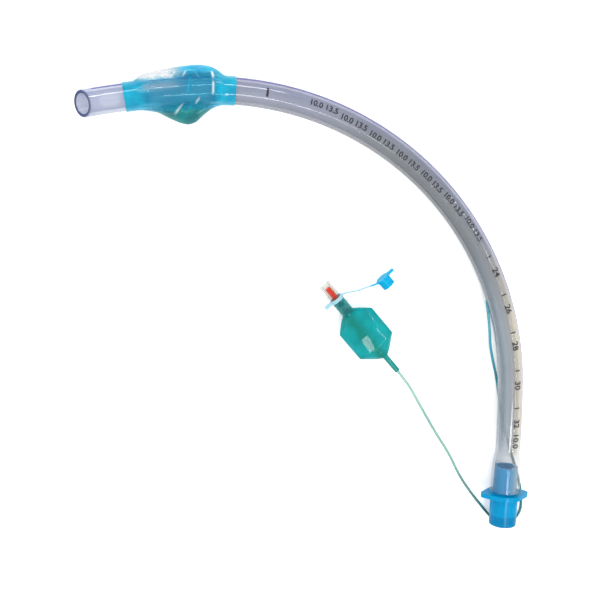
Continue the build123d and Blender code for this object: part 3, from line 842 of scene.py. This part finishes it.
class TT_OT_stage(bpy.types.Operator):
    """Make the floor, the lights and the camera at the photograph's angle."""

    bl_idname = "tube.stage"
    bl_label = "Stage"

    # Name, place, aim, power as a share of the key light's, and the two sides of each lamp
    lamps = (
        ("key", (-0.1, 1.0, 0.9), (0, 0, 0), 1.0, (1.0, 0.14)),
        ("fill", (-0.9, -0.3, 0.8), (0, 0, 0), 0.25, (0.8, 0.8)),
        ("strip", (0.59, -0.2, 0.72), (0.107, -0.05, 0.02), 0.25, (1.1, 0.03)),
        ("window", (0.125, -0.34, 0.69), (0.028, -0.012, 0), 0.3, (0.2, 0.22)),
    )
    camera_turn = ((0.9903, 0.026, -0.1364), (0, 0.9824, 0.1869), (0.1388, -0.1851, 0.9729))

    def shown(self, tree):
        """1 for a ray from the camera, a gloss or a clear piece, and 0 for light on the object."""
        path = tree.nodes.new("ShaderNodeLightPath")
        socket = path.outputs["Is Camera Ray"]
        for name in ("Is Glossy Ray", "Is Transmission Ray"):
            either = tree.nodes.new("ShaderNodeMath")
            either.operation = "MAXIMUM"
            tree.links.new(socket, either.inputs[0])
            tree.links.new(path.outputs[name], either.inputs[1])
            socket = either.outputs[0]
        return socket

    def lay_floor(self, settings):
        """A wide white floor that glows only where it is seen."""
        x = y = FLOOR_HALF
        corners = np.array([(-x, -y, 0), (x, -y, 0), (x, y, 0), (-x, y, 0)])
        floor = link(mesh_of("floor", corners, np.array([(0, 1, 2, 3)])), "floor",
                     plain_finish("pale_floor", srgb(252, 252, 252), srgb(255, 255, 255), 0.9, 12.0))
        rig.stage(floor)
        tree = floor.data.materials[0].node_tree
        shader = next(node for node in tree.nodes if node.type == "BSDF_PRINCIPLED")
        shader.inputs["Emission Color"].default_value = (1, 1, 1, 1)
        glow = tree.nodes.new("ShaderNodeMath")
        glow.operation = "MULTIPLY"
        glow.inputs[0].default_value = settings.floor_glow
        tree.links.new(self.shown(tree), glow.inputs[1])
        tree.links.new(glow.outputs[0], shader.inputs["Emission Strength"])

    def light_world(self, scene, settings):
        """A soft light all round, which is white where it is seen."""
        world = bpy.data.worlds.new("studio")
        world.use_nodes = True
        scene.world = world
        tree = world.node_tree
        tree.nodes.clear()
        output = tree.nodes.new("ShaderNodeOutputWorld")
        seen = tree.nodes.new("ShaderNodeBackground")
        seen.inputs["Color"].default_value = (1, 1, 1, 1)
        lit = tree.nodes.new("ShaderNodeBackground")
        lit.inputs["Color"].default_value = srgb(246, 248, 250)
        lit.inputs["Strength"].default_value = settings.world_strength
        mix = tree.nodes.new("ShaderNodeMixShader")
        tree.links.new(self.shown(tree), mix.inputs["Fac"])
        tree.links.new(lit.outputs[0], mix.inputs[1])
        tree.links.new(seen.outputs[0], mix.inputs[2])
        tree.links.new(mix.outputs[0], output.inputs["Surface"])

    def hang_lamps(self, scene, settings):
        """Rectangular lamps, each turned so that its back is away from what it is aimed at."""
        for name, place, aim, share, (length, width) in self.lamps:
            data = bpy.data.lights.new(name, "AREA")
            data.shape = "RECTANGLE"
            data.energy = settings.key_power * share
            data.size = length
            data.size_y = width
            lamp = bpy.data.objects.new(name, data)
            scene.collection.objects.link(lamp)
            back = unit(np.array(place) - np.array(aim))
            right = unit(np.cross((0, 0, 1), back))
            turn = Matrix(np.stack((right, np.cross(back, right), back), axis=1).tolist())
            lamp.matrix_world = Matrix.Translation(place) @ turn.to_4x4()

    def place_camera(self, scene, settings):
        """The camera where the photograph was taken from."""
        data = bpy.data.cameras.new("camera")
        data.angle = settings.camera_angle
        camera = bpy.data.objects.new("camera", data)
        scene.collection.objects.link(camera)
        turn = Matrix(self.camera_turn).to_4x4()
        camera.matrix_world = Matrix.Translation(settings.camera_place) @ turn
        scene.camera = camera

    def execute(self, context):
        """Make floor, world, lights and camera."""
        scene = context.scene
        settings = scene.tube_stage
        self.lay_floor(settings)
        self.light_world(scene, settings)
        self.hang_lamps(scene, settings)
        self.place_camera(scene, settings)
        scene.view_settings.view_transform = "Standard"
        return {"FINISHED"}


class TT_OT_line(bpy.types.Operator):
    """Make the free inflation line."""

    bl_idname = "tube.line"
    bl_label = "Inflation line"

    def execute(self, context):
        curve = bpy.data.curves.new("line", "CURVE")
        curve.dimensions = "3D"
        curve.bevel_depth = LINE_RADIUS
        curve.bevel_resolution = 6
        curve.resolution_u = 10
        curve.use_fill_caps = True
        spline = curve.splines.new("NURBS")
        spline.points.add(len(LINE_ROUTE) - 1)
        for point, place in zip(spline.points, LINE_ROUTE):
            point.co = (*place, 1)
        spline.order_u = 3
        spline.use_endpoint_u = True
        curve.materials.append(line_finish())
        line = bpy.data.objects.new("line", curve)
        context.scene.collection.objects.link(line)
        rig.ride(line, "body")
        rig.slot(line, "line_plastic")
        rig.replaces(line, "inflation_line")
        return {"FINISHED"}


class TT_OT_tube(bpy.types.Operator):
    """Dress the tube and lay the blue stripe along its outer side."""

    bl_idname = "tube.tube"
    bl_label = "Tube and stripe"

    def execute(self, context):
        """Dress the tube and make the stripe, a thin band that follows the tube's skin."""
        settings = context.scene.tube_tube
        dress("tube", tube_finish())
        rows = np.linspace(STRIPE_START, TUBE_LENGTH - STRIPE_TIP_GAP, 260)
        half = settings.stripe_width / 2 / TUBE_RADIUS
        lift = settings.ink_thickness
        corners = ((-half, lift), (half, lift), (half, -lift), (-half, -lift))
        skin = np.stack([on_tube(rows, np.full_like(rows, settings.stripe_angle + angle),
                                 np.full_like(rows, TUBE_RADIUS + rise)) for angle, rise in corners],
                        axis=1)
        count = len(rows)
        ends = np.array([(3, 2, 1, 0), (4 * count - 4, 4 * count - 3, 4 * count - 2, 4 * count - 1)])
        faces = np.concatenate((grid_faces(count, 4), ends))
        stripe = link(mesh_of("stripe", skin, faces, False), "stripe",
                      plain_finish("stripe_blue", srgb(52, 48, 146), srgb(84, 78, 176), 0.35))
        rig.ride(stripe, "body")
        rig.slot(stripe, "tube_plastic")
        return {"FINISHED"}


def print_on_tube(name, words, distance, angle, height, lift, material):
    """Flat digits, cut across so that they bend, and laid round the tube.

    Their x runs towards the connector and their y becomes an angle, y over the tube's radius.
    """
    data = bpy.data.curves.new(name, "FONT")
    data.body = words
    data.size = height / DIGIT_SHARE
    data.align_x = "CENTER"
    data.align_y = "CENTER"
    data.extrude = lift
    data.offset = 0.035 * height
    data.resolution_u = 4
    holder = bpy.data.objects.new(name + "_flat", data)
    bpy.context.scene.collection.objects.link(holder)
    bpy.context.view_layer.update()
    mesh = bpy.data.meshes.new_from_object(holder)
    bpy.data.objects.remove(holder)
    work = bmesh.new()
    work.from_mesh(mesh)
    for level in np.linspace(-0.6, 0.6, 13) * height:
        bmesh.ops.bisect_plane(work, geom=work.verts[:] + work.edges[:] + work.faces[:], dist=1e-7,
                               plane_co=(0, float(level), 0), plane_no=(0, 1, 0))
    work.to_mesh(mesh)
    work.free()
    flat = np.empty(len(mesh.vertices) * 3)
    mesh.vertices.foreach_get("co", flat)
    flat = flat.reshape(-1, 3)
    bent = on_tube(distance - flat[:, 0], angle + flat[:, 1] / TUBE_RADIUS, TUBE_RADIUS + flat[:, 2])
    mesh.vertices.foreach_set("co", bent.ravel())
    mesh.update()
    mesh.materials.clear()
    piece = link(mesh, name, material)
    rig.ride(piece, "body")
    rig.slot(piece, "tube_plastic")


def patch_on_tube(name, distance, angle, width, length, lift, material):
    """A small ink patch: width along the tube and length round it."""
    rows, columns = 3, 9
    s = distance + np.linspace(-0.5, 0.5, rows) * width
    a = angle + np.linspace(-0.5, 0.5, columns) * length / TUBE_RADIUS
    s, a = np.meshgrid(s, a, indexing="ij")
    top = on_tube(s, a, np.full_like(s, TUBE_RADIUS + lift))
    low = on_tube(s, a, np.full_like(s, TUBE_RADIUS - lift))
    ring = np.concatenate((top, low[:, ::-1]), axis=1)
    count = 2 * columns
    faces = grid_faces(rows, count)
    j = np.arange(columns - 1)
    caps = np.stack((j, j + 1, count - 2 - j, count - 1 - j), axis=-1)
    faces = np.concatenate((faces, caps[:, ::-1], caps + (rows - 1) * count))
    piece = link(mesh_of(name, ring, faces, False), name, material)
    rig.ride(piece, "body")
    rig.slot(piece, "tube_plastic")


class TT_OT_marks(bpy.types.Operator):
    """Print depth ticks, depth numbers and generic sizes on the tube."""

    bl_idname = "tube.marks"
    bl_label = "Marks"

    def execute(self, context):
        """Print ticks, numbers, sizes and the cord mark."""
        settings = context.scene.tube_tube
        ink = plain_finish("print_ink", srgb(12, 12, 24), srgb(30, 28, 44), 0.5, 1500.0)
        lift = settings.ink_thickness
        angle = settings.print_angle
        for number, distance in enumerate(TICKS):
            patch_on_tube(f"tick_{number}", distance * MM, angle, settings.tick_width,
                          settings.tick_length, lift, ink)
        for distance, words in DEPTHS:
            print_on_tube("depth_" + words.replace(".", "_"), words, distance * MM, angle,
                          settings.digit_height, lift, ink)
        for group, distance in enumerate(np.arange(PRINT_START, PRINT_END, -PRINT_STEP), start=1):
            share = (PRINT_START - distance) / (PRINT_START - PRINT_END)
            bow = PRINT_BOW * math.sin(math.pi * share)
            print_on_tube(f"sizes_{group}", "10.0 13.5", float(distance) - PRINT_HALF, angle + bow,
                          settings.print_height, lift, ink)
        patch_on_tube("cord_mark", CORD_MARK, CORD_MARK_ANGLE, CORD_MARK_WIDTH, CORD_MARK_LENGTH,
                      lift, ink)
        return {"FINISHED"}


class TT_OT_cuff(bpy.types.Operator):
    """Make the slack film cuff."""

    bl_idname = "tube.cuff"
    bl_label = "Cuff"

    rows = 220
    columns = 192

    # Share of the film's length, outer and inner wing in millimetres, and fullness
    shape = np.array((
        (0.0, 0.0, 0.0, 0.0),
        (0.04, 1.9, 0.2, 0.4),
        (0.12, 3.1, 0.8, 0.8),
        (0.22, 3.7, 1.9, 1.0),
        (0.34, 4.4, 5.2, 1.0),
        (0.46, 5.0, 7.9, 1.0),
        (0.56, 5.2, 9.2, 1.0),
        (0.66, 5.5, 8.2, 1.0),
        (0.76, 5.4, 4.8, 1.0),
        (0.87, 4.6, 1.6, 0.9),
        (0.95, 2.3, 0.3, 0.5),
        (1.0, 0.0, 0.0, 0.0),
    ))

    # Share of the length, lean in it per radian, first and last angle, and height in millimetres
    folds = (
        (0.86, 0.01, 75, 120, 0.4),
        (0.87, -0.01, 138, 170, 0.45),
        (0.58, 0.035, 82, 150, -0.35),
        (0.66, 0.1, 38, 62, 0.4),
        (0.22, -0.14, 150, 176, 0.3),
        (0.32, -0.16, 146, 176, -0.35),
        (0.4, 0.12, 150, 174, 0.4),
        (0.47, -0.12, 148, 178, -0.3),
        (0.54, 0.1, 152, 172, 0.35),
        (0.73, -0.08, 140, 172, -0.3),
        (0.42, 0.16, 8, 40, 0.35),
        (0.55, 0.12, 4, 38, -0.3),
    )

    def sections(self, share, centre, ring):
        """Closed loops across the tube, and how full each one is.

        A loop is a smooth curve through eight points, which start at the top and go round by the
        inner wing. A full loop reaches down to the floor, and an empty one is the collar's ring.
        """
        outer_wing, inner_wing, fullness = smoothed(share, self.shape, 21)
        outer_wing = outer_wing * MM
        inner_wing = inner_wing * MM
        top = ring + 1.0 * MM * fullness
        bottom = ring + (centre[:, 2] - FLOOR_GAP - COLLAR_RADIUS) * fullness
        corner = ring * 0.71
        haunch = ring * 0.62
        droop = -ring * 0.55 * fullness
        low = -bottom * (0.9 - 0.12 * (1 - fullness))
        zero = np.zeros(self.rows)
        x = np.stack((zero, zero + corner, ring + inner_wing, haunch + 0.3 * inner_wing, zero,
                      -haunch - 0.3 * outer_wing, -ring - outer_wing, zero - corner), axis=-1)
        y = np.stack((top, corner + 0.6 * MM * fullness, droop, low, -bottom, low, droop,
                      corner + 0.6 * MM * fullness), axis=-1)
        round_share = np.arange(self.columns) / self.columns
        return closed_loop(np.stack((x, y), axis=-1), round_share), fullness

    def ridges(self, share, angle, width):
        """Heights of the folds.

        A fold is a bell-shaped ridge across the film: its place is a share of the length that
        leans with the angle round the tube, and it runs from one angle to another.
        """
        heights = 0
        for place, lean, first, last, height in self.folds:
            run = angle - math.radians(first)
            rest = angle - math.radians(last)
            window = smooth_step(run, -0.15, 0.15) * (1 - smooth_step(rest, -0.15, 0.15))
            bell = np.exp(-((share - place - lean * run) / width) ** 2)
            heights = heights + height * MM * window * bell
        return heights

    def gathers(self, settings, share, angle, slack):
        """Heights of the pleats beside the collars and of the creases in the slack film.

        A pleat is a sine of the angle times the number of pleats, and leans along the film. The
        creases are a product of two sines that lean opposite ways, with a finer one added.
        """
        near = np.minimum(share, 1 - share)
        gather = smooth_step(near, 0.0, 0.06) * (1 - smooth_step(near, 0.1, 0.32))
        wave = np.sin(settings.pleats * angle + 5 * share + 1.3 * np.sin(3 * angle))
        crease = (np.sin(9 * angle + 26 * share) * np.sin(5 * angle - 17 * share)
                  + 0.4 * np.sin(13 * angle - 19 * share + 2 * np.sin(4 * angle)))
        return (settings.pleat_height * gather * wave
                + settings.crease_height * slack * crease * smooth_step(near, 0.02, 0.2))

    def skin(self, settings, inset):
        """Loops of film along the tube, with gathers on their upper half, and folds."""
        tip_side = TUBE_LENGTH - CUFF_FROM_TIP
        far_side = tip_side - CUFF_LENGTH
        distance = np.linspace(tip_side, far_side, self.rows)
        start = tip_side - DISTAL_COLLAR
        end = far_side + PROXIMAL_COLLAR
        share = np.clip((start - distance) / (start - end), 0, 1)
        centre, _, side, up = tube_frame(distance)
        ring = COLLAR_RADIUS - inset
        loop, fullness = self.sections(share, centre, ring)
        share = share[:, None]
        angle = np.arctan2(loop[..., 1], loop[..., 0])
        gap = np.hypot(loop[..., 0], loop[..., 1]) - ring
        slack = smooth_step(gap, 1.1 * MM, 3.2 * MM) * fullness[:, None]
        folds = self.ridges(share, angle, settings.fold_width)
        upper = smooth_step(loop[..., 1], -3 * MM, 2 * MM)
        rise = self.gathers(settings, share, angle, slack) * upper + folds
        radial = loop / np.linalg.norm(loop, axis=-1, keepdims=True)
        loop = loop + radial * rise[..., None]
        points = centre[:, None] + loop[..., :1] * side[:, None] + loop[..., 1:] * up
        points[..., 2] = np.maximum(points[..., 2], FLOOR_GAP + inset)
        return points, gap, share, angle, rise, folds / MM

    def execute(self, context):
        """Build the film, its density, its tint, and its paleness with painted highlights on the raised folds."""
        settings = context.scene.tube_cuff
        outer, gap, share, angle, rise, folds = self.skin(settings, 0.0)
        inner = self.skin(settings, settings.film)[0]
        mesh = sleeve_mesh("cuff_skin", outer, inner)
        away = smooth_step(gap, 0.6 * MM, 3.0 * MM)
        inner_half = smooth_step(np.cos(angle), 0.0, 0.5)
        outer_half = smooth_step(-np.cos(angle), 0.0, 0.5)
        lower = away * inner_half
        upper = away * outer_half
        distal = 1 - smooth_step(share, 0.0, 0.2)
        proximal = smooth_step(share, 0.8, 0.98)
        pale_length = (1 - smooth_step(share, 0.36, 0.58)) * smooth_step(share, 0.0, 0.06)
        pale = smooth_step(gap, 0.2 * MM, 1.3 * MM) * outer_half * pale_length
        dense = 0.2 + 0.7 * distal + 0.75 * proximal + 0.62 * lower + upper * 0.65
        dense = dense * (1 - pale) + 0.1 * pale + np.abs(folds)
        set_film(mesh, outer, {
            "dense": np.clip(dense + 60 * rise * away, 0.1, 0.97),
            "tint": np.clip(lower * (1 - proximal * 0.4) + 0.25 * (distal + proximal), 0, 1),
            # A pale zone on the outer wing, plus painted highlight: white streaks laid on the raised folds.
            "pale_and_fold_highlight": np.clip(pale + 2.2 * folds, 0, 1),
            "crumple": 0.05 + 0.4 * away + 0.08 * proximal,
        }, 0.3)
        # Tones: main cyan, tinted teal, and a pale white that the folds use as a painted highlight.
        tones = ((srgb(0, 166, 212), srgb(0, 194, 236)), (srgb(0, 118, 124), srgb(10, 148, 148)),
                 (srgb(236, 246, 250), srgb(255, 255, 255)))
        cuff = link(mesh, "cuff_film_skin",
                    film_finish("cuff_film", tones, srgb(222, 250, 253), (8.0, 5.0, 1.0), 0.08, 0.6))
        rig.ride(cuff, "body")
        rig.slot(cuff, "cuff_film")
        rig.replaces(cuff, "cuff")
        return {"FINISHED"}


class TT_OT_connector(bpy.types.Operator):
    """Dress the connector."""

    bl_idname = "tube.connector"
    bl_label = "Connector"

    def execute(self, context):
        """Give the connector its blue moulding."""
        dress("connector", connector_finish())
        return {"FINISHED"}


class TT_OT_balloon(bpy.types.Operator):
    """Make the pilot balloon with its neck, seams and tail."""

    bl_idname = "tube.balloon"
    bl_label = "Pilot balloon"

    rows = 260
    columns = 128
    neck_radius = 3.5
    tail_radius = 1.45

    # Where the neck starts, the six-sided pouch lies and the tail ends, in millimetres from the mouth
    neck_start = 11.4
    pouch_start = 20.0
    pouch_end = 52.3
    tail_end = 63.0

    def shape(self, settings):
        """Places along the axis with the half width and the half height there, in millimetres."""
        width = settings.half_width / MM
        height = settings.half_height / MM
        neck = self.neck_radius
        return np.array((
            (self.neck_start, neck, neck),
            (self.pouch_start, neck, neck),
            (26.5, width, neck),
            (35.5, width, height),
            (44.5, width, neck),
            (self.pouch_end, self.tail_radius, self.tail_radius),
            (self.tail_end, self.tail_radius, self.tail_radius),
        ))

    def skin(self, settings, inset):
        """Ellipses across the axis: a half width, a half height, and a seam that fades at the ends.

        The outer skin is drawn out to a flat seam at its sides, and its upper side has wrinkles
        that are sines of the place along the axis, leaning with the place across it.
        """
        along = np.linspace(self.neck_start, self.tail_end, self.rows)
        half_width, half_height = smoothed(along, self.shape(settings), 11)
        along = along[:, None]
        half_width = (half_width * MM - inset)[:, None]
        half_height = (half_height * MM - inset)[:, None]
        turn = np.linspace(0, 2 * math.pi, self.columns, endpoint=False)[None]
        across = half_width * np.cos(turn)
        height = half_height * np.sin(turn)
        pouch = smooth_step(along, 19.5, 22.0) * (1 - smooth_step(along, 50.5, 52.5))
        if inset == 0:
            sideways = np.abs(np.cos(turn))
            rim = smooth_step(sideways, 0.9, 1.0) * pouch
            across = across + np.sign(np.cos(turn)) * rim * settings.seam
            height = height * (1 - 0.55 * smooth_step(sideways, 0.93, 0.99) * pouch)
            wrinkle = (np.sin(along * 0.5 + 3 * np.cos(turn)) * 0.02
                       + np.sin(along * 0.25 - 4 * np.cos(turn)) * 0.05) * MM
            height = height + wrinkle * pouch * np.clip(np.sin(turn), 0, 1) * (half_height > 2.5 * MM)
        return along, across, height

    def execute(self, context):
        """Build the pouch, its density, tint and milkiness."""
        settings = context.scene.tube_balloon
        skins = []
        for inset in (0.0, settings.film):
            along, across, height = self.skin(settings, inset)
            skins.append(VALVE_MOUTH + along[..., None] * MM * VALVE_ALONG
                         + across[..., None] * VALVE_SIDE + height[..., None] * VALVE_UP)
        mesh = sleeve_mesh("balloon_skin", *skins)
        neck = 1 - smooth_step(along, 18.5, 22.5)
        edge = smooth_step(np.abs(across) / settings.half_width, 0.8, 1.02)
        set_film(mesh, skins[0], {
            "dense": 0.94 - 0.7 * neck + 0.05 * edge,
            "tint": np.exp(-((across / MM + 1.5) / 3.2) ** 2) * (1 - neck),
            "pale_and_fold_highlight": 0.0,
            "crumple": 0.03 + 0.12 * edge,
        }, 0.6)
        tones = ((srgb(0, 150, 154), srgb(0, 170, 172)), (srgb(0, 126, 114), srgb(0, 144, 134)),
                 (srgb(200, 226, 226), srgb(230, 240, 240)))
        balloon = link(mesh, "balloon_skin",
                       film_finish("balloon_film", tones, srgb(238, 250, 250), (3.0, 2.0, 1.0), 0.1, 0.35))
        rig.ride(balloon, "body")
        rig.slot(balloon, "balloon_film")
        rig.replaces(balloon, "pilot_balloon")
        return {"FINISHED"}


class TT_OT_valve(bpy.types.Operator):
    """Dress the valve's pieces and make its spring, which shortens as the plunger goes in."""

    bl_idname = "tube.valve"
    bl_label = "Valve"

    def coil(self):
        """A wire carried along a helix.

        The helix is at radius times cosine and sine of the turn, and rises evenly along the valve.
        The wire's section is a circle across the radius and across the helix's direction.
        """
        turn = np.linspace(0, 2 * math.pi * SPRING_TURNS, 36 * SPRING_TURNS + 1)[:, None]
        level = SPRING_START + SPRING_LENGTH * turn / turn[-1]
        out = np.cos(turn) * VALVE_SIDE + np.sin(turn) * VALVE_UP
        centre = VALVE_MOUTH + level * VALVE_ALONG + SPRING_RADIUS * out
        pitch = SPRING_LENGTH / (2 * math.pi * SPRING_TURNS)
        forward = np.cos(turn) * VALVE_UP - np.sin(turn) * VALVE_SIDE
        along = unit(SPRING_RADIUS * forward + pitch * VALVE_ALONG)
        across = np.cross(along, out)
        round_wire = np.linspace(0, 2 * math.pi, 12, endpoint=False)[:, None]
        wire = (centre[:, None] + SPRING_WIRE * (np.cos(round_wire) * out[:, None]
                                                 + np.sin(round_wire) * across[:, None]))
        return mesh_of("spring_coil", wire, grid_faces(len(turn), len(round_wire)), caps=True)

    def execute(self, context):
        """Give each valve piece its finish."""
        clear = clear_finish()
        dress("valve_housing", clear)
        dress("valve_retainer", clear)
        dress("valve_plunger", plain_finish("plunger_red", srgb(236, 26, 8), srgb(255, 60, 16), 0.25,
                                            500.0, gloss=0.1))
        dress("valve_seal", plain_finish("seal_rubber", srgb(10, 10, 12), srgb(24, 22, 26), 0.6, 900.0,
                                         gloss=0.2))
        spring = link(self.coil(), "spring_coil",
                      plain_finish("spring_steel", srgb(118, 120, 126), srgb(160, 162, 168), 0.3, 900.0,
                                   metallic=1.0))
        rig.slot(spring, "spring_steel")
        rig.replaces(spring, "valve_spring")
        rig.blend(spring, "plunger", "body", start=VALVE_MOUTH + VALVE_ALONG * SPRING_START,
                 end=VALVE_MOUTH + VALVE_ALONG * (SPRING_START + SPRING_LENGTH))
        return {"FINISHED"}


class TT_OT_cap(bpy.types.Operator):
    bl_idname = "tube.cap"
    bl_label = "Cap"

    def execute(self, context):
        dress("cap_and_strap", cap_finish())
        carried = [bpy.data.objects["balloon_skin"], bpy.data.objects["spring_coil"]]
        for name in ("valve_housing", "valve_plunger", "valve_seal", "valve_retainer",
                     "cap_and_strap"):
            carried.append(node_object(name))
        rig.cord(bpy.data.objects["line"], exit=LINE_ROUTE[0], length=LINE_LENGTH,
                diameter=2 * LINE_RADIUS, far_end="fitting", stiffness="limp", lay="loose",
                with_pieces=carried)
        return {"FINISHED"}


class TT_PT_panel(bpy.types.Panel):
    """Buttons for each group of pieces."""

    bl_label = "Tube"
    bl_idname = "TT_PT_panel"
    bl_space_type = "VIEW_3D"
    bl_region_type = "UI"
    bl_category = "Tube"

    def draw(self, context):
        """List the operators and their settings."""
        for name in ("stage", "line", "tube", "marks", "cuff", "connector", "balloon", "valve", "cap"):
            self.layout.operator("tube." + name)
        for group in ("tube_stage", "tube_tube", "tube_cuff", "tube_balloon"):
            settings = getattr(context.scene, group)
            box = self.layout.box()
            for key in settings.__annotations__:
                box.prop(settings, key)


CLASSES = (
    TubeSettings,
    CuffSettings,
    BalloonSettings,
    StageSettings,
    TT_OT_stage,
    TT_OT_line,
    TT_OT_tube,
    TT_OT_marks,
    TT_OT_cuff,
    TT_OT_connector,
    TT_OT_balloon,
    TT_OT_valve,
    TT_OT_cap,
    TT_PT_panel,
)


def register():
    """Register the classes and their settings."""
    for item in CLASSES:
        bpy.utils.register_class(item)
    bpy.types.Scene.tube_tube = PointerProperty(type=TubeSettings)
    bpy.types.Scene.tube_cuff = PointerProperty(type=CuffSettings)
    bpy.types.Scene.tube_balloon = PointerProperty(type=BalloonSettings)
    bpy.types.Scene.tube_stage = PointerProperty(type=StageSettings)


def unregister():
    """Take the classes and their settings away."""
    for name in ("tube_tube", "tube_cuff", "tube_balloon", "tube_stage"):
        delattr(bpy.types.Scene, name)
    for item in reversed(CLASSES):
        bpy.utils.unregister_class(item)


def plain(box):
    """A box as lists of numbers."""
    return [[float(value) for value in corner] for corner in box]


def main():
    """Make every piece in order and write the two boxes."""
    register()
    bpy.ops.tube.stage()
    bpy.ops.tube.line()
    bpy.ops.tube.tube()
    bpy.ops.tube.marks()
    bpy.ops.tube.cuff()
    bpy.ops.tube.connector()
    bpy.ops.tube.balloon()
    bpy.ops.tube.valve()
    bpy.ops.tube.cap()
    with open("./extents.json", "w") as handle:
        json.dump({"cad": plain(cad_box), "visual": plain(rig.bounds())}, handle)


if __name__ == "__main__":
    main()
